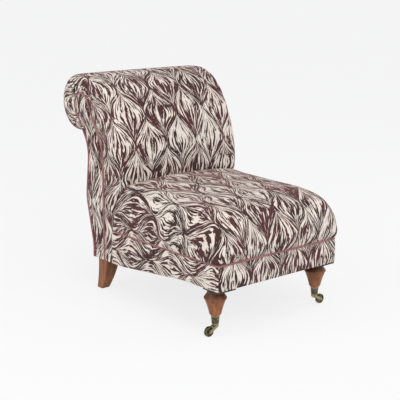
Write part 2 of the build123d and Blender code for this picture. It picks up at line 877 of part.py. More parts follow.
with BuildPart() as right_swivel_pin:
    with BuildSketch(leg_plane(leg_x)):
        with BuildLine():
            head_top = boss_base - turn_gap
            rivet_base = cup_base + cup_floor
            Polyline(
                (0, head_top - pin_head_height),
                (pin_head_radius, head_top - pin_head_height),
                (pin_head_radius, head_top),
                (pin_radius, head_top),
                (pin_radius, rivet_base),
                (pin_head_radius, rivet_base),
                (pin_head_radius, rivet_base + pin_head_height),
                (0, rivet_base + pin_head_height),
                close=True,
            )
        make_face()
    revolve(axis=Axis((leg_x, leg_y, 0), (0, 0, 1)))
write_pair(right_swivel_pin, "swivel_pin")

with BuildPart() as right_castor_horn:
    with BuildSketch(leg_plane(leg_x).offset(-horn_side)):
        with BuildLine(mode=Mode.PRIVATE) as shoulder:
            Line((-shoulder_half, boss_top - boss_height / 2), (shoulder_half, boss_top - boss_height / 2))
        with BuildLine(mode=Mode.PRIVATE) as eye:
            CenterArc((trail, wheel_radius), horn_eye_radius, 0, 360)
        with BuildLine(mode=Mode.PRIVATE) as heel:
            CenterArc((-heel_set, boss_base + boss_height / 2), boss_height / 2, 0, 360)
        make_hull([*shoulder.edges(), *eye.edges(), *heel.edges()])
    extrude(amount=horn_thick)
    mirror(about=Plane.XZ.offset(-leg_y))
    with BuildSketch(Plane.XY.offset(boss_base)):
        with Locations((leg_x, leg_y)):
            Circle(boss_radius)
    extrude(amount=boss_height)
    with BuildSketch(leg_plane(leg_x).offset(-2 * horn_side)):
        with Locations((trail, wheel_radius)):
            Circle(axle_radius)
    extrude(amount=4 * horn_side, mode=Mode.SUBTRACT)
    with BuildSketch(Plane.XY.offset(boss_base - boss_height)):
        with Locations((leg_x, leg_y)):
            Circle(pin_radius + run_fit)
    extrude(amount=3 * boss_height, mode=Mode.SUBTRACT)
write_pair(right_castor_horn, "castor_horn")

axle_line = Axis((axle_x, leg_y, wheel_radius), (0, 1, 0))
with BuildPart() as right_castor_axle:
    with BuildSketch(leg_plane(axle_x).offset(-horn_side - axle_head_height)):
        with Locations((0, wheel_radius)):
            Circle(axle_head_radius)
    extrude(amount=axle_head_height)
    with BuildSketch(leg_plane(axle_x).offset(-horn_side)):
        with Locations((0, wheel_radius)):
            Circle(axle_radius)
    extrude(amount=2 * horn_side)
    with BuildSketch(leg_plane(axle_x).offset(horn_side)):
        with Locations((0, wheel_radius)):
            Circle(axle_head_radius)
    extrude(amount=axle_head_height)
write_pair(right_castor_axle, "castor_axle")

with BuildPart() as right_castor_wheel:
    with BuildSketch(Plane.XY.offset(wheel_radius)) as tyre:
        with Locations((axle_x + wheel_radius / 2, leg_y)):
            Rectangle(wheel_radius, wheel_width)
        rim_corners = tyre.vertices().group_by(Axis.X)[-1]
        fillet(rim_corners, wheel_tread_round)
        recess_middle = (wheel_hub_radius + wheel_radius - wheel_rim) / 2
        for face_side in (-1, 1):
            with Locations((axle_x + recess_middle, leg_y + face_side * wheel_width / 2)):
                Rectangle(
                    wheel_radius - wheel_rim - wheel_hub_radius,
                    2 * wheel_recess,
                    mode=Mode.SUBTRACT,
                )
        with Locations((axle_x, leg_y)):
            Rectangle(2 * (axle_radius + run_fit), 2 * wheel_width, mode=Mode.SUBTRACT)
    revolve(axis=axle_line)
write_pair(right_castor_wheel, "castor_wheel")
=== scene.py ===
"""Looks of the scroll-back slipper chair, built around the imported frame. Metres, +Z up, front towards -Y."""

import json
import math

import bpy
import numpy as np
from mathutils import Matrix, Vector


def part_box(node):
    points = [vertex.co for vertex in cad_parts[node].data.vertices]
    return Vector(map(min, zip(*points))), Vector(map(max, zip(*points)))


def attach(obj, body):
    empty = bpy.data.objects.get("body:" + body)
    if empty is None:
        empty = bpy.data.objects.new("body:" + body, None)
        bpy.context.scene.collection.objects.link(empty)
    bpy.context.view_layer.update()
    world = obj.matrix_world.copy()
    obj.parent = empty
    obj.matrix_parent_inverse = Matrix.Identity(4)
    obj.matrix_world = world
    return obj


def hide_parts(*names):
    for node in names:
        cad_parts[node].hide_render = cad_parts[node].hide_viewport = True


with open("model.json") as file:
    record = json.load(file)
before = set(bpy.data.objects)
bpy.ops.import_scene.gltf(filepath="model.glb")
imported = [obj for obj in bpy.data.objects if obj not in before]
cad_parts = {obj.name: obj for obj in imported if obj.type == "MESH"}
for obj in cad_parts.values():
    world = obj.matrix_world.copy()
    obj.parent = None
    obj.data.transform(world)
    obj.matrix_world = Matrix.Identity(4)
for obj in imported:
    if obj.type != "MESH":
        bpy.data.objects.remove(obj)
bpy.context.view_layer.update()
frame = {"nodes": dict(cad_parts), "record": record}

# Camera, solved from the photograph
CAMERA_AT = (-2.441, -2.9365, 1.268)
CAMERA_TARGET = (-0.0302, -0.0635, 0.4013)
LENS_MM = 88.2
SENSOR_MM = 36

# Places read from the frame
seat_low, seat_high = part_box("seat_pad")
border_low, border_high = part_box("front_border")
strip_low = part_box("left_back_border")[0]
HALF = border_high.x                # half the width over the seat's covers
BACK_HALF = round(-strip_low.x, 6)  # and over the back's
BACK = strip_low.y                  # front of the back at the chair's side
WELT = seat_low.z                   # underside of the seat pad, on the piping
DECK = border_high.z                # top of the border, under the piping
FRONT_HEM = border_low.z
REAR_HEM = strip_low.z
BORDER_FRONT = border_low.y
SEAT_REAR = seat_high.y


def set_back(distance):
    """Place behind the front of the back, to the micrometre."""
    return round(BACK + distance, 6)


def raised(distance):
    """Height over the top of the border, to the micrometre."""
    return round(DECK + distance, 6)


def side_view(back, up):
    """Place in side view, from the front of the back at the top of the border."""
    return (set_back(back), raised(up))


# Seat pad
SEAT_TOP = raised(0.209)            # middle of the seat where it meets the back
SEAT_HIDDEN = 0.07                  # length of the pad behind that place
SEAT_SLOPE = 0.025                  # rise per metre towards the back
SEAT_CROWN = 0.016                  # middle above the sides
SEAT_FRONT = BORDER_FRONT + 0.0015  # the pad's front at the piping
SEAT_DEPTH = SEAT_REAR - SEAT_FRONT
FRONT_RUN = 0.20                    # how far back the front edge starts to round
FRONT_DROP = 0.112                  # height of the rounded front edge
FRONT_EDGE_FROM = 0.72              # share of the depth where the side's edge starts to become the front's
SIDE_RUN = 0.052
SIDE_DROP = 0.085
REAR_TIGHT = 0.45                   # how much tighter the side edges round at the back
TIGHT_FROM = BACK - 0.22
TIGHT_FULL = BACK - 0.04
EDGE_FULLNESS = 2.75                # exponent of the rounded edges
FRONT_BELLY = 0.0165                # how far the front swells past the piping
FRONT_BELLY_FROM = 0.80             # share of the depth where that starts
SIDE_BELLY = 0.006
SIDE_BELLY_FROM = 0.75              # share of the half width
BELLY_HEIGHT = 0.125                # height of the swell over the piping
BELLY_SAG = 0.72                    # exponent; below 1 the swell is fullest under its middle
CORNER_LOW = 0.011                  # plan radius of the front corners at the piping
CORNER_HIGH = 0.036                 # and at the top
CORNER_EASE = 1.5                   # exponent of the change between the two
CORNER_TURN = math.radians(69)      # how far the print swings round the front corners
CORNER_REACH = 0.22                 # length of that swing along the front
SIDE_REACH = 0.38                   # and along the sides
TUCK_IN = 0.032                     # how far the seat's sides are drawn in behind the crease
TUCK_AHEAD = 0.016                  # where they start to turn in, ahead of it
TUCK_BEHIND = 0.020                 # and where they are fully in, behind it
TUCK_RISE = 0.04                    # height over which the tuck opens above the piping
SEAT_COLUMNS = 34                   # grid points from the middle to each side
SEAT_ROWS = 72
EDGE_ROWS = 19                      # round the edges
WALL_ROWS = 13                      # from the foot of the edges to the piping
SIDE_CROWDING = 1.35                # exponents that crowd the grid towards the sides and the front
FRONT_CROWDING = 1.2

# Back, with its outlines in side view from the hem upwards
STRIP_MIDDLE = (BACK, raised(-0.032))
CREASE = [(BACK, raised(0.058)), (BACK - 0.003, raised(0.078)), (BACK - 0.010, raised(0.110)),
          (BACK - 0.026, raised(0.148)), side_view(-0.057, 0.188), side_view(-0.067, 0.228)]
INSIDE_BACK = [side_view(-0.065, 0.289), side_view(-0.050, 0.369), side_view(-0.028, 0.426),
               side_view(-0.005, 0.475), side_view(0.031, 0.531), side_view(0.083, 0.579),
               side_view(0.144, 0.605), side_view(0.194, 0.6083)]
ROLL_CENTRE = side_view(0.236, 0.4915)
ROLL_RADIUS = 0.1135
ROLL_START, ROLL_STOP = 88, -92     # degrees
NECK = [side_view(0.211, 0.379), side_view(0.199, 0.380)]
BACK_ROUND = 0.022                  # radius of the ends of the inside back and scroll
STRIP_ROUND = 0.003                 # and of the flat strip below the seat
ROUND_FROM, ROUND_FULL = raised(0.058), raised(0.188)   # heights between which that changes
BACK_CROWN = 0.007
CROWN_FROM, CROWN_FULL = raised(0.188), raised(0.278)   # heights where the crown grows
CROWN_FADE, CROWN_END = raised(0.428), raised(0.588)    # and where it goes again
HIDDEN_TOP = raised(0.128)          # below this the seat hides the middle of the back, which is left open
HIDDEN_EDGE = 0.02                  # cloth kept beside the opening
SCROLL_FROM, SCROLL_FULL = set_back(0.049), set_back(0.149)     # from the pad's ends to the scroll's
GATHER_DEPTH = 0.0028               # pleats round the scroll's ends
GATHER_PITCH = 0.013
GATHER_EASE = 0.8                   # exponent; below 1 they run nearly the whole way
END_BULGE = 0.002                   # how far the scroll's ends swell
END_SINK = 0.004                    # how far they dip at the facing piping
END_SINK_FROM = 0.55                # share of the way to the piping
BACK_POINTS = 190                   # grid points up the back
ROUND_COLUMNS = 10
END_COLUMNS = 12
FLAT_COLUMNS = 56

# Facing
HEAD_CENTRE = side_view(0.205, 0.485)
HEAD_RADIUS = 0.050
HEAD_FRONT, HEAD_CROWN, HEAD_REAR = 151, 80, -32.6      # degrees
FACING_FRONT = [(set_back(0.061), REAR_HEM), side_view(0.057, 0.320)]
FACING_REAR = [(set_back(0.141), REAR_HEM), side_view(0.140, -0.072), side_view(0.183, 0.116),
               side_view(0.159, 0.320)]
FACING_ROUND = 0.140                # radius of the bends in both edges
FACING_SEAM = 0.0038                # the facing piping's middle, in from the outline
FACING_SET = 0.0035                 # the facing's edges, in from the side of the back
FACING_CROWN = 0.003
FACING_FULLNESS = 0.6               # exponent of the crown
FACING_PRINT = (0.37, 0.11)         # where the print starts on the facings
FACING_ROWS = 120
FACING_COLUMNS = 14
SEAM_POINTS = 200                   # along each edge of the facing
NECK_SEAM = side_view(0.194, 0.380)  # where the seam ends, under the scroll
SEAM_PAIRS = [                      # places on the back's outline, and on the seam to which they are drawn
    ((BACK, REAR_HEM), (set_back(0.0605), REAR_HEM)),
    (side_view(0, 0.058), side_view(0.059, 0.068)),
    (side_view(-0.067, 0.218), side_view(0.0575, 0.218)),
    (side_view(-0.049, 0.369), side_view(0.073, 0.360)),
    (side_view(0.035, 0.528), side_view(0.149, 0.493)),
    (side_view(0.194, 0.6072), side_view(0.206, 0.534)),
    (side_view(0.3495, 0.494), side_view(0.251, 0.480)),
    (side_view(0.236, 0.3805), side_view(0.219, 0.420)),
    (side_view(0.199, 0.3825), NECK_SEAM),
]

# Outside back
OUTSIDE_TOP = side_view(0.199, 0.382)
OUTSIDE_SET = 0.006                 # its sides, in from the side of the back
OUTSIDE_HOLLOW = 0.004              # how far its middle is drawn in
OUTSIDE_TURN = (0.012, 0.0008)      # cloth turned under the hem, forwards and down
OUTSIDE_ROWS = 240
OUTSIDE_COLUMNS = 60

# Border
HEM_FLAT = 0.19                     # level length of the hem behind the front
HEM_LEAD = 0.047                    # where its fall ends, ahead of the back
HEM_EASE = 0.03                     # how gently the fall starts and ends
HEM_SAMPLES = 9
HEM_TURNS = ((0.003, 0.0012), (0.009, 0.0014))          # cloth turned under the hem, inwards and down
BORDER_CORNER = 0.010               # plan radius of the front corners
BANDS_MEET, BANDS_LAP = 225, 3      # degrees, where the side's band runs in behind the front's
BORDER_LAP = 0.0015                 # how far the sides run in behind the strips of the back
BORDER_SWELL = 0.0025
BORDER_NIP = 0.002                  # how far the top edge is drawn in under the piping
BORDER_ROWS = 15
BORDER_FRONT_COLUMNS = 34           # from a corner to the middle
BORDER_SIDE_COLUMNS = 60
PIPING_TAKES = 0.010                # length of print lost in the piping

# Cloth run
SWELL_ROOM = 0.001                  # the covers start this much smaller than drawn
STUFFING_HOLD = 0.13                # how firmly the stuffing holds the cover's shape, out of 1
CLOTH_PRESSURE = 4
CLOTH_QUALITY = 4
CLOTH_FRAMES = 20
SEAT_MOVE = 0.008                   # most that a point of the seat may move
BACK_MOVE = 0.006
SEAT_HELD = BACK - 0.01             # the seat is sewn down behind this
BACK_HELD = raised(0.208)           # and the back below this


def smooth(low, high, value):
    """Smooth step from 0 at low to 1 at high."""
    t = np.clip((np.asarray(value, float) - low) / (high - low), 0, 1)
    return t * t * (3 - 2 * t)


def lengths(points):
    """Distance along a polyline at each of its points."""
    steps = np.linalg.norm(np.diff(points, axis=0), axis=1)
    return np.concatenate([[0], np.cumsum(steps)])


def widths(grid):
    """Distance along each row of a grid from its middle column."""
    along = np.array([lengths(row) for row in grid])
    middle = grid.shape[1] // 2
    return along - along[:, middle : middle + 1]


def even(points, count):
    """Points at even steps along a polyline."""
    points = np.asarray(points, float)
    along = lengths(points)
    wanted = np.linspace(0, along[-1], count)
    return np.stack([np.interp(wanted, along, points[:, axis]) for axis in range(points.shape[1])], 1)


def nearest(points, place):
    """Index of the point nearest to a place."""
    return np.argmin(np.linalg.norm(points - place, axis=1))


def unit(rows):
    """Vectors scaled to length 1."""
    return rows / np.linalg.norm(rows, axis=1)[:, None]


def rightward(points):
    """Unit vectors to the right of a flat polyline at each of its points."""
    along = unit(np.gradient(points, axis=0))
    return np.stack([along[:, 1], -along[:, 0]], 1)


def curve_through(points, count, samples=24):
    """Even points on a smooth curve through a few points."""
    p = np.asarray(points, float)
    ends = np.vstack([2 * p[0] - p[1], p, 2 * p[-1] - p[-2]])
    out = []
    for a, b, c, d in zip(ends[:-3], ends[1:-2], ends[2:-1], ends[3:]):
        for t in np.linspace(0, 1, samples, endpoint=False):
            out.append(0.5 * (2 * b + (c - a) * t + (2 * a - 5 * b + 4 * c - d) * t**2
                              + (3 * b - a - 3 * c + d) * t**3))
    out.append(p[-1])
    return even(out, count)


def arc(centre, radius, start, stop, count):
    """Points on a flat arc, angles in degrees from the first axis towards the second."""
    turn = np.radians(np.linspace(start, stop, count))
    return np.stack([centre[0] + radius * np.cos(turn), centre[1] + radius * np.sin(turn)], 1)


def rounded(points, radius, samples=9):
    """Polyline with its corners rounded."""
    p = np.asarray(points, float)
    out = [p[0]]
    for before, corner, after in zip(p, p[1:], p[2:]):
        into = (corner - before) / np.linalg.norm(corner - before)
        away = (after - corner) / np.linalg.norm(after - corner)
        run = radius * math.tan(math.acos(min(into @ away, 1)) / 2)
        for t in np.linspace(0, 1, samples):
            out.append(corner - into * run * (1 - t) ** 2 + away * run * t**2)
    return np.vstack([out, p[-1]])


def add_object(name, data):
    """New object in the scene."""
    obj = bpy.data.objects.new(name, data)
    bpy.context.scene.collection.objects.link(obj)
    return obj


class Patchwork:
    """Grids of points that share their edges, gathered into one mesh with its UVs in metres of cloth."""

    def __init__(self):
        self.points = []
        self.faces = []
        self.uvs = []
        self.index = {}

    def vertex(self, point):
        key = tuple(np.round(point, 6))
        if key not in self.index:
            self.index[key] = len(self.points)
            self.points.append(point)
        return self.index[key]

    def grid(self, points, uvs, flip=False, keep=None):
        rows, columns = points.shape[:2]
        ids = [[self.vertex(points[r, c]) for c in range(columns)] for r in range(rows)]
        for r in range(rows - 1):
            for c in range(columns - 1):
                if keep is not None and not keep[r, c]:
                    continue
                corners = [(r, c), (r, c + 1), (r + 1, c + 1), (r + 1, c)]
                if flip:
                    corners.reverse()
                loop = [ids[a][b] for a, b in corners]
                if len(set(loop)) < 4:
                    continue
                self.faces.append(loop)
                self.uvs.extend(uvs[a, b] for a, b in corners)

    def build(self, name):
        mesh = bpy.data.meshes.new(name)
        mesh.from_pydata([tuple(p) for p in self.points], [], [tuple(f) for f in self.faces])
        layer = mesh.uv_layers.new(name="cloth")
        layer.data.foreach_set("uv", np.asarray(self.uvs, np.float32).ravel())
        mesh.polygons.foreach_set("use_smooth", [True] * len(mesh.polygons))
        mesh.update()
        return add_object(name, mesh)


def dress(obj, material, nodes):
    """Give a piece its material, hang it on the chair's body and hide the frame's parts that it stands for."""
    obj.data.materials.append(material)
    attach(obj, "chair")
    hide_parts(*nodes)


# Materials
class Graph:
    """Short names for building a node tree."""

    def __init__(self, name):
        self.material = bpy.data.materials.new(name)
        self.material.use_nodes = True
        self.tree = self.material.node_tree
        self.shader = self.tree.nodes["Principled BSDF"]

    def link(self, value, socket):
        if isinstance(value, bpy.types.NodeSocket):
            self.tree.links.new(value, socket)
        elif hasattr(value, "__len__") and len(value) == 3 and socket.type == "RGBA":
            socket.default_value = (*value, 1)
        else:
            socket.default_value = value

    def node(self, kind, inputs=(), **settings):
        made = self.tree.nodes.new(kind)
        for key, value in settings.items():
            setattr(made, key, value)
        for key, value in dict(inputs).items():
            self.link(value, made.inputs[key])
        return made

    def place(self):
        return self.node("ShaderNodeTexCoord").outputs["Object"]

    def pointiness(self):
        return self.node("ShaderNodeNewGeometry").outputs["Pointiness"]

    def split(self, vector):
        return self.node("ShaderNodeSeparateXYZ", {0: vector}).outputs

    def combine(self, x, y, z):
        return self.node("ShaderNodeCombineXYZ", {0: x, 1: y, 2: z}).outputs[0]

    def math(self, operation, a, b=0.0, c=0.0, clamp=False):
        made = self.node("ShaderNodeMath", {0: a, 1: b, 2: c}, operation=operation, use_clamp=clamp)
        return made.outputs[0]

    def vector(self, operation, a, b):
        return self.node("ShaderNodeVectorMath", {0: a, 1: b}, operation=operation).outputs[0]

    def noise(self, at, scale, detail=2.0, roughness=0.5):
        made = self.node("ShaderNodeTexNoise", {"Vector": at, "Scale": scale, "Detail": detail,
                                                "Roughness": roughness})
        return made.outputs[0]

    def ramp(self, value, low, high, to=(0.0, 1.0)):
        made = self.node("ShaderNodeMapRange", {0: value, 1: low, 2: high, 3: to[0], 4: to[1]},
                         interpolation_type="SMOOTHSTEP")
        return made.outputs[0]

    def mix(self, factor, a, b):
        made = self.node("ShaderNodeMix", {0: factor}, data_type="RGBA")
        self.link(a, made.inputs[6])
        self.link(b, made.inputs[7])
        return made.outputs[2]

    def bump(self, height, strength, distance):
        made = self.node("ShaderNodeBump", {"Height": height, "Strength": strength, "Distance": distance})
        return made.outputs[0]

    def set(self, **values):
        for key, value in values.items():
            self.link(value, self.shader.inputs[key.replace("_", " ")])


def darker(colour, share):
    """Colour at a share of its brightness."""
    return tuple(c * share for c in colour)


GROUND = (0.775, 0.700, 0.632)
GROUND_SHADE = (0.655, 0.580, 0.510)
STROKE_DARK = (0.034, 0.017, 0.014)
STROKE_RED = (0.070, 0.022, 0.023)
PILE_BLOOM = (0.80, 0.42, 0.40)     # what the printed pile shows at a slant
PILE_SHEEN = 0.30
GROUND_SHEEN = 0.02
THREAD = 0.0011
OGEE_WIDTH = 0.150
OGEE_HEIGHT = 0.245
OGEE_LEAST = 0.02                   # narrowest half of an ogee, as a share of its pitch
DRIFT = (0.030, 0.040, 0)           # how far the lattice wanders
ROW_SEED, SET_SEED, STROKE_SEED = 7.3, 3.7, 5.1         # keep the noise of the ogees apart
FAN = 2.0                           # how far the strokes spread towards the tips
BOLD_STROKES = (10.0, 4.4)          # noise across and along an ogee
FINE_STROKES = (20.0, 10.5)
BOLD_SHARE = 0.64
INK_LEVEL = 0.492                   # noise under this level is inked
INK_VARIES = 0.05                   # and up to this much more in some ogees
INK_FALL = -0.09                    # change of the level along an ogee
STROKE_EDGE = 0.010
RIM_RAGGED = 0.085                  # how ragged the line round each ogee is
RIM_EDGE = (-0.034, -0.016)         # where that line fades out


def weave(g, cloth, thread):
    """Height of a plain weave, with slubs, over cloth coordinates."""
    parts = g.split(cloth)
    across = g.math("SINE", g.math("MULTIPLY", parts[0], math.pi / thread))
    along = g.math("SINE", g.math("MULTIPLY", parts[1], math.pi / thread))
    over = g.math("MULTIPLY", across, along)
    slub = g.noise(cloth, 0.35 / thread, detail=3.0, roughness=0.6)
    return g.math("ADD", g.math("MULTIPLY", over, 0.5), slub)


def printed_cloth():
    """Cream weave with a block-cut ogee print in dark plum and burgundy."""
    g = Graph("printed_cloth")
    uv = g.node("ShaderNodeUVMap", uv_map="cloth").outputs[0]
    wobble = g.node("ShaderNodeTexNoise", {"Vector": uv, "Scale": 9.0, "Detail": 1.0}).outputs[1]
    drift = g.vector("MULTIPLY", g.vector("SUBTRACT", wobble, (0.5, 0.5, 0.5)), DRIFT)
    cloth = g.vector("ADD", uv, drift)
    parts = g.split(cloth)
    x = g.math("DIVIDE", parts[0], OGEE_WIDTH)
    y = g.math("DIVIDE", parts[1], OGEE_HEIGHT)

    # Two sets of ogees, a and b, half a pitch apart, fill the lattice between them
    swing = g.math("COSINE", g.math("MULTIPLY", y, 2 * math.pi))
    half_a = g.math("MULTIPLY_ADD", swing, 0.25, 0.25)
    half_b = g.math("SUBTRACT", 0.5, half_a)
    x_a = g.math("SUBTRACT", g.math("FRACT", g.math("ADD", x, 0.5)), 0.5)
    x_b = g.math("SUBTRACT", g.math("FRACT", x), 0.5)
    y_a = g.math("SUBTRACT", g.math("FRACT", g.math("ADD", y, 0.5)), 0.5)
    y_b = g.math("SUBTRACT", g.math("FRACT", y), 0.5)
    in_a = g.math("LESS_THAN", g.math("ABSOLUTE", x_a), half_a)

    def pick(a, b):
        return g.math("ADD", g.math("MULTIPLY", in_a, a),
                      g.math("MULTIPLY", g.math("SUBTRACT", 1.0, in_a), b))

    half = g.math("MAXIMUM", pick(half_a, half_b), OGEE_LEAST)
    across = g.math("DIVIDE", pick(x_a, x_b), half)
    along = pick(y_a, y_b)
    row = g.math("FLOOR", pick(g.math("ADD", y, 0.5), y))
    cell = g.math("ADD", g.math("FLOOR", pick(g.math("ADD", x, 0.5), x)), g.math("MULTIPLY", row, ROW_SEED))
    tone = g.node("ShaderNodeTexWhiteNoise", {"W": g.math("ADD", cell, g.math("MULTIPLY", in_a, SET_SEED))},
                  noise_dimensions="1D").outputs[0]

    # Strokes that fan out from the middle of each ogee
    lean = g.math("MULTIPLY", g.math("MULTIPLY", along, along), FAN)
    fan = g.math("MULTIPLY_ADD", g.math("SIGN", across), lean, across)
    bold_at = g.combine(g.math("MULTIPLY", fan, BOLD_STROKES[0]), g.math("MULTIPLY", along, BOLD_STROKES[1]),
                        g.math("MULTIPLY", cell, STROKE_SEED))
    bold = g.noise(bold_at, 1.0, detail=1.0)
    fine_at = g.combine(g.math("MULTIPLY", fan, FINE_STROKES[0]), g.math("MULTIPLY", along, FINE_STROKES[1]),
                        cell)
    fine = g.noise(fine_at, 1.0, roughness=0.6)
    cut = g.math("ADD", g.math("MULTIPLY", bold, BOLD_SHARE), g.math("MULTIPLY", fine, 1 - BOLD_SHARE))
    weight = g.math("MULTIPLY_ADD", tone, INK_VARIES, INK_LEVEL)
    weight = g.math("MULTIPLY_ADD", along, INK_FALL, weight)
    stroke = g.ramp(g.math("SUBTRACT", cut, weight), -STROKE_EDGE, STROKE_EDGE, to=(1.0, 0.0))

    rim = g.math("MULTIPLY", g.math("SUBTRACT", 1.0, g.math("ABSOLUTE", across)), half)
    ragged = g.math("MULTIPLY", g.noise(cloth, 38.0), RIM_RAGGED)
    outline = g.ramp(g.math("SUBTRACT", rim, ragged), *RIM_EDGE, to=(1.0, 0.0))
    ink = g.math("MAXIMUM", stroke, outline, clamp=True)

    worn = g.noise(uv, 420.0, roughness=0.7)
    ink = g.math("MULTIPLY", ink, g.ramp(worn, 0.28, 0.42, to=(0.85, 1.0)))
    red = g.ramp(g.math("ADD", g.noise(uv, 5.0), g.math("MULTIPLY", tone, 0.15)), 0.46, 0.66)
    pigment = g.mix(red, STROKE_DARK, STROKE_RED)
    threads = weave(g, uv, THREAD)
    ground = g.mix(g.ramp(threads, 0.1, 1.0), GROUND_SHADE, GROUND)
    g.set(Base_Color=g.mix(ink, ground, pigment), Roughness=g.ramp(threads, 0.0, 1.0, to=(0.92, 0.78)),
          Normal=g.bump(threads, strength=0.35, distance=0.0004))
    g.set(Sheen_Weight=g.math("MULTIPLY_ADD", ink, PILE_SHEEN, GROUND_SHEEN), Sheen_Roughness=0.42,
          Sheen_Tint=PILE_BLOOM, Specular_IOR_Level=0.18)
    return g.material


def piping_cloth(light, dark, fuzz):
    """Dusty rose cloth over cord, with a fine diagonal thread."""
    g = Graph("piping_cloth")
    at = g.place()
    fibre = g.noise(at, 900.0, detail=3.0, roughness=0.7)
    rows = g.node("ShaderNodeTexWave", {"Vector": at, "Scale": 160.0, "Distortion": 3.0, "Detail": 2.0},
                  bands_direction="DIAGONAL").outputs[1]
    patch = g.noise(at, 14.0)
    colour = g.mix(g.ramp(patch, 0.35, 0.65), dark, light)
    colour = g.mix(g.ramp(fibre, 0.3, 0.75, to=(0.0, 0.45)), colour, fuzz)
    surface = g.math("ADD", fibre, g.math("MULTIPLY", rows, 0.6))
    g.set(Base_Color=colour, Roughness=g.ramp(fibre, 0.2, 0.8, to=(0.9, 0.7)),
          Normal=g.bump(surface, strength=0.3, distance=0.0004))
    g.set(Sheen_Weight=0.15, Specular_IOR_Level=0.25)
    return g.material


def wood(name, light, dark, grain_axis, gloss, under_seat_shade=None):
    """Stained wood with stretched grain, pores and darker hollows.

    grain_axis is the axis along which the grain runs, gloss the roughness of its smoothest places, and
    the last argument the two heights between which it darkens upwards: painted shade from the seat above.
    """
    g = Graph(name)
    at = g.place()
    stretch = [60.0, 60.0, 60.0]
    stretch[grain_axis] = 5.0
    along = g.vector("MULTIPLY", at, stretch)
    figure = g.noise(along, 1.0, detail=4.0, roughness=0.6)
    pores = g.noise(g.vector("MULTIPLY", along, (9.0, 9.0, 4.0)), 1.0, roughness=0.7)
    cloud = g.noise(at, 9.0)
    colour = g.mix(g.ramp(figure, 0.32, 0.68), dark, light)
    colour = g.mix(g.ramp(pores, 0.55, 0.75, to=(0.0, 0.5)), colour, darker(dark, 0.45))
    colour = g.mix(g.ramp(cloud, 0.3, 0.7, to=(0.0, 0.35)), colour, darker(light, 0.7))
    colour = g.mix(g.ramp(g.pointiness(), 0.40, 0.50, to=(0.75, 0.0)), colour, darker(dark, 0.35))
    # painted shade: the wood darkens towards the top, as under the seat
    if under_seat_shade is not None:
        height = g.split(at)[2]
        colour = g.mix(g.ramp(height, *under_seat_shade, to=(0.0, 0.8)), colour, darker(dark, 0.4))
    g.set(Base_Color=colour, Roughness=g.ramp(pores, 0.3, 0.8, to=(gloss, gloss + 0.22)),
          Normal=g.bump(g.math("ADD", pores, figure), strength=0.12, distance=0.0005))
    g.set(Coat_Weight=0.08, Coat_Roughness=0.3, Specular_IOR_Level=0.3)
    return g.material


def aged_brass(dark, light, rubbed):
    """Cast brass, mottled with tarnish and rubbed bright on the edges."""
    g = Graph("aged_brass")
    at = g.place()
    tarnish = g.noise(at, 75.0, detail=3.0, roughness=0.55)
    pits = g.noise(at, 900.0, roughness=0.6)
    colour = g.mix(g.ramp(tarnish, 0.28, 0.72), dark, light)
    colour = g.mix(g.ramp(g.pointiness(), 0.51, 0.58, to=(0.0, 0.8)), colour, rubbed)
    g.set(Base_Color=colour, Roughness=g.ramp(tarnish, 0.3, 0.7, to=(0.46, 0.32)),
          Normal=g.bump(g.math("ADD", tarnish, pits), strength=0.15, distance=0.0006))
    g.set(Metallic=0.9)
    return g.material


def plain_steel(bright, rust):
    """Plain steel wire and screws with a light haze of rust."""
    g = Graph("plain_steel")
    haze = g.noise(g.place(), 220.0, detail=3.0, roughness=0.6)
    g.set(Base_Color=g.mix(g.ramp(haze, 0.55, 0.75), bright, rust),
          Roughness=g.ramp(haze, 0.3, 0.7, to=(0.3, 0.55)))
    g.set(Metallic=0.95)
    return g.material


def plain_cloth(name, light, dark, thread):
    """Unprinted woven cloth laid by the object's own coordinates."""
    g = Graph(name)
    threads = weave(g, g.place(), thread)
    g.set(Base_Color=g.mix(g.ramp(threads, 0.0, 1.0), dark, light),
          Roughness=g.ramp(threads, 0.0, 1.0, to=(0.95, 0.8)),
          Normal=g.bump(threads, strength=0.4, distance=0.0005))
    g.set(Specular_IOR_Level=0.2)
    return g.material


ALONG_X, ALONG_Z = 0, 2             # ways the grain runs
cover = printed_cloth()
SLOT_LOOKS = {
    "cover_fabric": cover,
    "piping_fabric": piping_cloth(light=(0.30, 0.125, 0.122), dark=(0.19, 0.072, 0.072),
                                  fuzz=(0.34, 0.19, 0.17)),
    "frame_wood": wood("frame_wood", light=(0.58, 0.42, 0.27), dark=(0.44, 0.30, 0.18),
                       grain_axis=ALONG_X, gloss=0.6),
    # its top darkened with painted shade from the seat above
    "leg_wood": wood("leg_wood", light=(0.345, 0.128, 0.044), dark=(0.155, 0.050, 0.018),
                     grain_axis=ALONG_Z, gloss=0.36, under_seat_shade=(0.126, 0.156)),
    "plate_wood": wood("plate_wood", light=(0.040, 0.030, 0.026), dark=(0.016, 0.012, 0.011),
                       grain_axis=ALONG_X, gloss=0.45),
    "steel": plain_steel(bright=(0.42, 0.42, 0.43), rust=(0.24, 0.17, 0.12)),
    "webbing_cloth": plain_cloth("jute_webbing", light=(0.55, 0.42, 0.26), dark=(0.34, 0.24, 0.13),
                                 thread=0.0025),
    "dust_cloth": plain_cloth("black_bottom_cloth", light=(0.030, 0.030, 0.032), dark=(0.012, 0.012, 0.013),
                              thread=0.0009),
    "castor_brass": aged_brass(dark=(0.048, 0.043, 0.029), light=(0.140, 0.121, 0.076),
                               rubbed=(0.42, 0.34, 0.19)),
}
for part in frame["record"]["subparts"]:
    node = frame["nodes"][part["node"]]
    node.data.materials.clear()
    node.data.materials.append(SLOT_LOOKS[part["material_slot"]])


# Seat pad: one piece of cloth over the top, front and sides
def seat_height(x, y):
    """Height of the seat before its edges round off."""
    return SEAT_TOP + (y - SEAT_REAR + SEAT_HIDDEN) * SEAT_SLOPE - SEAT_CROWN * (x / HALF) ** 2


def crease_at(height):
    """How far back the seat and the inside back meet, at a height."""
    ys, heights = zip(*CREASE)
    return float(np.interp(height, heights, ys))


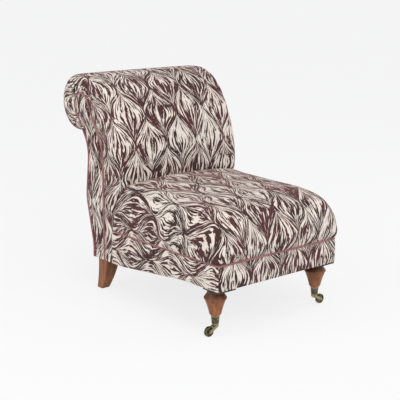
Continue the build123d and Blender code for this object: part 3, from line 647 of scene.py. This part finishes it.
def seat_point(x, y, inset, drop, low):
    """Point of the padded seat from its place on the plan.

    inset runs from 0 at the seat's full outline to 1 at the flat of its top, drop from 0 at the top to 1 at
    the foot of the rounded edge, and low from 0 there to 1 at the piping.
    """
    to_front = (SEAT_REAR - y) / SEAT_DEPTH
    tight = 1 - REAR_TIGHT * float(smooth(TIGHT_FROM, TIGHT_FULL, y))
    flat_x = x * (1 - inset * SIDE_RUN * tight / HALF)
    flat_y = SEAT_REAR - (SEAT_REAR - y) * (1 - inset * FRONT_RUN / SEAT_DEPTH)

    radius = CORNER_LOW + (CORNER_HIGH - CORNER_LOW) * (1 - low) ** CORNER_EASE
    corner_x = HALF - inset * SIDE_RUN - radius
    corner_y = SEAT_FRONT + inset * FRONT_RUN + radius
    out_x = max(abs(flat_x) - corner_x, 0) / radius
    out_y = max(corner_y - flat_y, 0) / radius
    if out_x > 0 and out_y > 0:
        shrink = max(out_x, out_y) / math.hypot(out_x, out_y)
        flat_x = math.copysign(corner_x + out_x * shrink * radius, x)
        flat_y = corner_y - out_y * shrink * radius

    frontness = float(smooth(FRONT_EDGE_FROM, 1.0, to_front))
    edge = SIDE_DROP * tight + (FRONT_DROP - SIDE_DROP) * frontness
    foot = seat_height(flat_x, flat_y) - edge
    height = foot + edge * (1 - drop) - (foot - WELT) * low
    swell = math.sin(math.pi * min(max((height - WELT) / BELLY_HEIGHT, 0), 1) ** BELLY_SAG)
    on_side = float(smooth(SIDE_BELLY_FROM, 1.0, abs(x) / HALF)) * (1 - inset)
    on_front = float(smooth(FRONT_BELLY_FROM, 1.0, to_front)) * (1 - inset)
    flat_x += math.copysign(SIDE_BELLY * swell * on_side, x)
    flat_y -= FRONT_BELLY * swell * on_front

    behind = flat_y - crease_at(height)
    tuck = TUCK_IN * float(smooth(-TUCK_AHEAD, TUCK_BEHIND, behind))
    tuck *= float(smooth(0, TUCK_RISE, height - WELT))
    flat_x *= 1 - tuck / HALF
    return (flat_x, flat_y, height)


def seat_cover():
    """Cloth of the seat pad, laid out so that the print runs on over the edges.

    Also gives how far the print has run at the foot of the front and of the sides.
    """
    half_x = HALF * (1 - (1 - np.linspace(0, 1, SEAT_COLUMNS)) ** SIDE_CROWDING)
    xs = np.concatenate([-half_x[:0:-1], half_x])
    ys = SEAT_REAR - SEAT_DEPTH * (1 - (1 - np.linspace(0, 1, SEAT_ROWS)) ** FRONT_CROWDING)
    round_edge = np.linspace(math.pi / 2, 0, EDGE_ROWS)
    levels = [(1 - math.cos(t) ** (2 / EDGE_FULLNESS), 1 - math.sin(t) ** (2 / EDGE_FULLNESS), 0.0)
              for t in round_edge]
    levels += [(0.0, 1.0, low) for low in np.linspace(0, 1, WALL_ROWS)[1:]]
    top = np.array([[seat_point(x, y, *levels[0]) for x in xs] for y in ys])
    front = np.array([[seat_point(x, ys[-1], *level) for x in xs] for level in levels])
    left = np.array([[seat_point(xs[0], y, *level) for level in levels] for y in ys])
    right = np.array([[seat_point(xs[-1], y, *level) for level in levels] for y in ys])

    u = widths(top)
    v = np.array([-lengths(column) for column in top.transpose(1, 0, 2)]).T
    down = np.array([lengths(column) for column in front.transpose(1, 0, 2)]).T
    to_corner = np.minimum(u[-1] - u[-1, 0], u[-1, -1] - u[-1])
    turn = (math.pi / 2 - CORNER_TURN) * (1 - smooth(0, CORNER_REACH, to_corner))
    front_uv = np.stack([u[-1] + np.sign(u[-1]) * down * np.sin(turn), v[-1] - down * np.cos(turn)], -1)
    cloth = Patchwork()
    cloth.grid(top, np.stack([u, v], -1), flip=True)
    cloth.grid(front, front_uv, flip=True)
    for side, panel, edge in ((-1, left, 0), (1, right, -1)):
        down = np.array([lengths(row) for row in panel])
        turn = CORNER_TURN * (1 - smooth(0, SIDE_REACH, v[:, edge] - v[-1, edge]))[:, None]
        side_uv = np.stack([u[:, edge][:, None] + side * down * np.cos(turn),
                            v[:, edge][:, None] - down * np.sin(turn)], -1)
        cloth.grid(panel, side_uv, flip=side > 0)
    return cloth.build("seat_cover"), front_uv[-1, len(xs) // 2, 1], side_uv[0, -1, 0]


# Back: one piece of cloth up the inside back, over the scroll and round to the facings
def back_profile(count):
    """Side view of the outer face of the back, from the hem up and over the scroll to the neck."""
    strip = [(BACK, REAR_HEM), STRIP_MIDDLE]
    roll = arc(ROLL_CENTRE, ROLL_RADIUS, ROLL_START, ROLL_STOP, count=14)
    return curve_through([*strip, *CREASE, *INSIDE_BACK, *roll, *NECK], count)


def facing_front(count, inset):
    """Front edge of the facing, from the hem up to the crown of its head, drawn in by inset."""
    head = arc(HEAD_CENTRE, HEAD_RADIUS, HEAD_FRONT, HEAD_CROWN, count=24)
    foot = rounded([*FACING_FRONT, head[0]], FACING_ROUND)
    edge = even(np.vstack([foot, head[1:]]), count)
    return edge + rightward(edge) * inset


def facing_rear(count, inset):
    """Rear edge of the facing, from the hem up to the crown of its head, drawn in by inset."""
    head = arc(HEAD_CENTRE, HEAD_RADIUS, HEAD_REAR, HEAD_CROWN, count=30)
    foot = rounded([*FACING_REAR, head[0]], FACING_ROUND)
    edge = even(np.vstack([foot, head[1:]]), count)
    return edge - rightward(edge) * inset


def facing_seam():
    """Middle of the facing piping, up from the front of the hem, over the head and down to the neck."""
    climb = facing_front(SEAM_POINTS, FACING_SEAM)
    descend = facing_rear(SEAM_POINTS, FACING_SEAM)[::-1]
    around = np.vstack([climb, descend[1:]])
    return around[: len(climb) + nearest(descend, NECK_SEAM)]


def drawn_to(outer, seam):
    """How far along the seam each point of the back's outline is drawn to."""
    along = lengths(outer)
    around = lengths(seam)
    outer_at = [along[nearest(outer, place)] for place, _ in SEAM_PAIRS]
    seam_at = [around[nearest(seam, place)] for _, place in SEAM_PAIRS]
    return np.interp(along, outer_at, seam_at)


def back_cover():
    """Cloth of the inside back and scroll, with its ends drawn in to the facing piping."""
    outer = back_profile(BACK_POINTS)
    seam = facing_seam()
    seam_at = drawn_to(outer, seam)
    inner = np.stack([np.interp(seam_at, lengths(seam), seam[:, axis]) for axis in (0, 1)], 1)
    inward = rightward(outer)
    lean = unit(inward + unit(inner - outer))
    behind, height = outer.T
    flat = BACK_HALF - BACK_ROUND
    bend = STRIP_ROUND + (BACK_ROUND - STRIP_ROUND) * smooth(ROUND_FROM, ROUND_FULL, height)[:, None]
    on_scroll = smooth(SCROLL_FROM, SCROLL_FULL, behind)
    gathers = GATHER_DEPTH * on_scroll * np.sin(2 * np.pi * seam_at / GATHER_PITCH)

    def end(side):
        """Columns of one end, round from the flat of the back and on to the facing piping."""
        columns = []
        for t in np.linspace(0, math.pi / 2, ROUND_COLUMNS + 1)[1:]:
            x = np.full(BACK_POINTS, side * (flat + BACK_ROUND * math.sin(t)))
            columns.append((x, outer + lean * bend * (1 - math.cos(t))))
        start = outer + lean * bend
        for share in np.arange(1, END_COLUMNS + 1) / END_COLUMNS:
            bulge = END_BULGE * math.sin(math.pi * share) * on_scroll
            sink = END_SINK * smooth(END_SINK_FROM, 1.0, share)
            fold = gathers * math.sin(math.pi * share) ** GATHER_EASE
            columns.append((side * (BACK_HALF + bulge - sink + fold), start + (inner - start) * share))
        return columns

    swell = smooth(CROWN_FROM, CROWN_FULL, height) * (1 - smooth(CROWN_FADE, CROWN_END, height))
    swell *= behind < ROLL_CENTRE[0]
    middle = []
    for x in np.linspace(-flat, flat, FLAT_COLUMNS + 1):
        crown = BACK_CROWN * (1 - (x / flat) ** 2)
        middle.append((np.full(BACK_POINTS, x), outer - inward * (crown * swell)[:, None]))
    columns = end(-1)[::-1] + middle + end(1)
    grid = np.array([np.column_stack([x, points]) for x, points in columns]).transpose(1, 0, 2)
    v = np.tile(lengths(outer)[:, None], (1, len(columns)))
    hidden = (height[:-1] < HIDDEN_TOP)[:, None] & (np.abs(grid[:-1, :-1, 0]) < flat - HIDDEN_EDGE)
    cloth = Patchwork()
    cloth.grid(grid, np.stack([widths(grid), v], -1), keep=~hidden)
    return cloth.build("back_cover")


def facing_cover(name, side):
    """Flat padded panel on one side of the back."""
    front = facing_front(FACING_ROWS, FACING_SEAM)
    rear = facing_rear(FACING_ROWS, FACING_SEAM)
    share = np.linspace(0, 1, FACING_COLUMNS)
    yz = front[:, None] + (rear - front)[:, None] * share[None, :, None]
    crown = FACING_CROWN * np.sin(np.pi * share) ** FACING_FULLNESS
    x = side * (BACK_HALF - FACING_SET + np.tile(crown, (FACING_ROWS, 1)))
    grid = np.concatenate([x[..., None], yz], -1)
    uvs = np.stack([side * yz[..., 0] + FACING_PRINT[0], yz[..., 1] + FACING_PRINT[1]], -1)
    cloth = Patchwork()
    cloth.grid(grid, uvs, flip=side < 0)
    return cloth.build(name)


def outside_back_cover():
    """Cloth of the outside back, from under the hem up to the neck."""
    edge = facing_rear(OUTSIDE_ROWS, 0)
    edge = edge[: nearest(edge, OUTSIDE_TOP) + 1]
    forwards, down = OUTSIDE_TURN
    edge = np.vstack([(edge[0, 0] - forwards, REAR_HEM - down), edge])
    xs = np.linspace(-BACK_HALF + OUTSIDE_SET, BACK_HALF - OUTSIDE_SET, OUTSIDE_COLUMNS)
    hollow = OUTSIDE_HOLLOW * (1 - (xs / BACK_HALF) ** 2)
    grid = np.array([[(x, y - h, z) for x, h in zip(xs, hollow)] for y, z in edge])
    uvs = np.stack([np.tile(-xs, (len(edge), 1)), np.tile(lengths(edge)[:, None], (1, len(xs)))], -1)
    cloth = Patchwork()
    cloth.grid(grid, uvs, flip=True)
    return cloth.build("outside_back_cover")


# Border under the piping
def hem_height(y):
    """Height of the hem along the side of the seat."""
    start, stop = BORDER_FRONT + HEM_FLAT, BACK - HEM_LEAD
    around = np.linspace(y - HEM_EASE, y + HEM_EASE, HEM_SAMPLES)
    fall = np.clip((around - start) / (stop - start), 0, 1).mean()
    return FRONT_HEM + (REAR_HEM - FRONT_HEM) * float(fall)


def seat_border_cover(front_print, side_print):
    """Bands of cloth round the front and sides, from the piping to the hem, with the seat's print run on."""
    centre = (-HALF + BORDER_CORNER, BORDER_FRONT + BORDER_CORNER)
    flat = [(x, BORDER_FRONT) for x in np.linspace(centre[0], 0, BORDER_FRONT_COLUMNS)[1:]]
    left_front = np.vstack([arc(centre, BORDER_CORNER, BANDS_MEET, 270, count=7)[1:], flat])
    front = np.vstack([left_front, left_front[-2::-1] * (-1, 1)])
    flat = [(-HALF, y) for y in np.linspace(BACK + BORDER_LAP, centre[1], BORDER_SIDE_COLUMNS)[:-1]]
    left = np.vstack([flat, arc(centre, BORDER_CORNER, 180, BANDS_MEET + BANDS_LAP, count=7)])
    right = left[::-1] * (-1, 1)
    cloth = Patchwork()
    for path, side in ((front, 0), (left, -1), (right, 1)):
        outward = rightward(path)
        hem = np.array([hem_height(y) for y in path[:, 1]])
        rows = []
        for share in np.linspace(0, 1, BORDER_ROWS):
            swell = BORDER_SWELL * math.sin(math.pi * share) - BORDER_NIP * (share == 0)
            rows.append(np.column_stack([path + outward * swell, DECK + (hem - DECK) * share]))
        for inwards, below in HEM_TURNS:
            rows.append(np.column_stack([path - outward * inwards, hem - below]))
        rows = np.array(rows)
        down = DECK - rows[..., 2] + PIPING_TAKES
        if side:
            along = np.tile(path[:, 1] - SEAT_REAR, (len(rows), 1))
            uvs = np.stack([side * (side_print + down), along], -1)
        else:
            along = np.tile(widths(path[None]), (len(rows), 1))
            uvs = np.stack([along, front_print - down], -1)
        cloth.grid(rows, uvs)
    return cloth.build("seat_border_cover")


def open_edges(mesh):
    """Vertices on the edges that only one face uses."""
    uses = {}
    for face in mesh.polygons:
        for edge in face.edge_keys:
            uses[edge] = uses.get(edge, 0) + 1
    return {v for edge, n in uses.items() if n == 1 for v in edge}


def places(mesh):
    """Places of a mesh's vertices."""
    flat = np.empty(len(mesh.vertices) * 3, np.float32)
    mesh.vertices.foreach_get("co", flat)
    return flat.reshape(-1, 3)


def move_to(mesh, points):
    """Put a mesh's vertices at new places."""
    mesh.vertices.foreach_set("co", points.ravel())
    mesh.update()


def swell_cloth(obj, pinned):
    """Places of a cover's vertices after a short run of cloth under pressure."""
    seams = obj.vertex_groups.new(name="seams")
    seams.add(list(range(len(obj.data.vertices))), STUFFING_HOLD, "REPLACE")
    seams.add(sorted(pinned), 1.0, "REPLACE")
    cloth = obj.modifiers.new("swell", "CLOTH")
    cloth.settings.quality = CLOTH_QUALITY
    cloth.settings.use_pressure = True
    cloth.settings.uniform_pressure_force = CLOTH_PRESSURE
    cloth.settings.effector_weights.gravity = 0
    cloth.settings.vertex_group_mass = "seams"
    cloth.point_cache.frame_end = CLOTH_FRAMES
    scene = bpy.context.scene
    for step in range(1, CLOTH_FRAMES + 1):
        scene.frame_set(step)
    swollen = places(obj.evaluated_get(bpy.context.evaluated_depsgraph_get()).data)
    obj.modifiers.remove(cloth)
    obj.vertex_groups.clear()
    scene.frame_set(1)
    return swollen


def settle(obj, held, cap):
    """Swell a cover, held at its seams and near its drawn shape, with no point moved by more than cap."""
    mesh = obj.data
    drawn = places(mesh)
    normals = np.array([tuple(v.normal) for v in mesh.vertices], np.float32)
    pinned = open_edges(mesh) | {i for i, p in enumerate(drawn) if held(p)}
    free = np.array([i not in pinned for i in range(len(drawn))], np.float32)[:, None]
    move_to(mesh, drawn - normals * free * SWELL_ROOM)
    move = swell_cloth(obj, pinned) - drawn
    far = np.linalg.norm(move, axis=1)
    move *= np.minimum(1, cap / np.maximum(far, 1e-9))[:, None]
    move_to(mesh, drawn + move)
    obj.modifiers.new("smooth", "SUBSURF").render_levels = 1


seat, front_print, side_print = seat_cover()
settle(seat, lambda p: p[1] > SEAT_HELD, SEAT_MOVE)
dress(seat, cover, ["seat_pad"])
back = back_cover()
settle(back, lambda p: p[2] < BACK_HELD, BACK_MOVE)
dress(back, cover, ["back_pad", "scroll_pad", "left_back_border", "right_back_border"])
for facing_side, sign in (("left", -1), ("right", 1)):
    facing = facing_cover(f"{facing_side}_facing_cover", sign)
    dress(facing, cover, [f"{facing_side}_facing"])
rear = outside_back_cover()
dress(rear, cover, ["outside_back"])
border = seat_border_cover(front_print, side_print)
dress(border, cover, ["front_border", "left_border", "right_border"])

# Floor, light and camera
FLOOR_SIZE = 300
FLOOR_SHADE = (0.15, 0.15, 0.15)    # the part of the floor's brightness that the shadow takes
FLOOR_GLOW = (0.795, 0.795, 0.795)
FLOOR_BOUNCE = (0.80, 0.80, 0.80)   # what the floor throws back on the chair
WORLD_LIGHT = (0.95, 0.96, 1.0, 1)
WORLD_POWER = 0.50
BACKDROP = (0.92, 0.92, 0.92, 1)
SKY_POWER = 1.08
SKY_SPREAD = math.radians(75)
SKY_DIRECTION = (0.25, 0.75, -1.0)
SOFT_BOXES = {                      # place, target, size and power
    "key": ((-1.2, -3.4, 2.4), (0, 0, 0.4), 2.2, 50),
    "fill": ((3.2, -1.2, 1.9), (0, 0, 0.4), 2.4, 22),
    "side": ((-3.4, 0.3, 1.8), (0, 0, 0.45), 2.2, 45),
}


def floor():
    """Pale floor that keeps the chair's soft shadow."""
    bpy.ops.mesh.primitive_plane_add(size=FLOOR_SIZE)
    plane = bpy.context.object
    plane.name = "floor"
    g = Graph("pale_floor")
    shade = g.node("ShaderNodeBsdfDiffuse", {"Color": FLOOR_SHADE})
    glow = g.node("ShaderNodeEmission", {"Color": FLOOR_GLOW, "Strength": 1.0})
    both = g.node("ShaderNodeAddShader", {0: shade.outputs[0], 1: glow.outputs[0]})
    plain = g.node("ShaderNodeBsdfDiffuse", {"Color": FLOOR_BOUNCE})
    ray = g.node("ShaderNodeLightPath")
    seen = g.math("ADD", ray.outputs["Is Camera Ray"], ray.outputs["Is Glossy Ray"])
    seen = g.math("ADD", seen, ray.outputs["Is Transmission Ray"], clamp=True)
    pick = g.node("ShaderNodeMixShader", {0: seen, 1: plain.outputs[0], 2: both.outputs[0]})
    g.tree.links.new(pick.outputs[0], g.tree.nodes["Material Output"].inputs[0])
    plane.data.materials.append(g.material)


def aim(direction):
    """Turn of a lamp or camera that looks in a direction."""
    return direction.to_track_quat("-Z", "Y").to_euler()


def studio_world():
    """World that lights the chair a little bluer than the backdrop that the camera sees."""
    world = bpy.data.worlds.new("studio")
    world.use_nodes = True
    nodes = world.node_tree.nodes
    links = world.node_tree.links
    light = nodes["Background"]
    light.inputs[0].default_value = WORLD_LIGHT
    light.inputs[1].default_value = WORLD_POWER
    seen = nodes.new("ShaderNodeBackground")
    seen.inputs[0].default_value = BACKDROP
    both = nodes.new("ShaderNodeMixShader")
    links.new(nodes.new("ShaderNodeLightPath").outputs["Is Camera Ray"], both.inputs[0])
    links.new(light.outputs[0], both.inputs[1])
    links.new(seen.outputs[0], both.inputs[2])
    links.new(both.outputs[0], nodes["World Output"].inputs[0])
    bpy.context.scene.world = world


def lamps():
    """Broad sky from above and behind the camera, and soft boxes round the chair."""
    sky = bpy.data.lights.new("sky", "SUN")
    sky.energy = SKY_POWER
    sky.angle = SKY_SPREAD
    add_object("sky", sky).rotation_euler = aim(Vector(SKY_DIRECTION))
    for name, (place, target, size, power) in SOFT_BOXES.items():
        lamp = bpy.data.lights.new(name, "AREA")
        lamp.size = size
        lamp.energy = power
        box = add_object(name, lamp)
        box.location = place
        box.rotation_euler = aim(Vector(target) - Vector(place))


def photo_camera():
    """Camera of the photograph."""
    lens = bpy.data.cameras.new("camera")
    lens.lens = LENS_MM
    lens.sensor_width = SENSOR_MM
    camera = add_object("camera", lens)
    camera.location = CAMERA_AT
    camera.rotation_euler = aim(Vector(CAMERA_TARGET) - Vector(CAMERA_AT))
    bpy.context.scene.camera = camera


floor()
studio_world()
lamps()
photo_camera()
bpy.context.scene.view_settings.view_transform = "Standard"
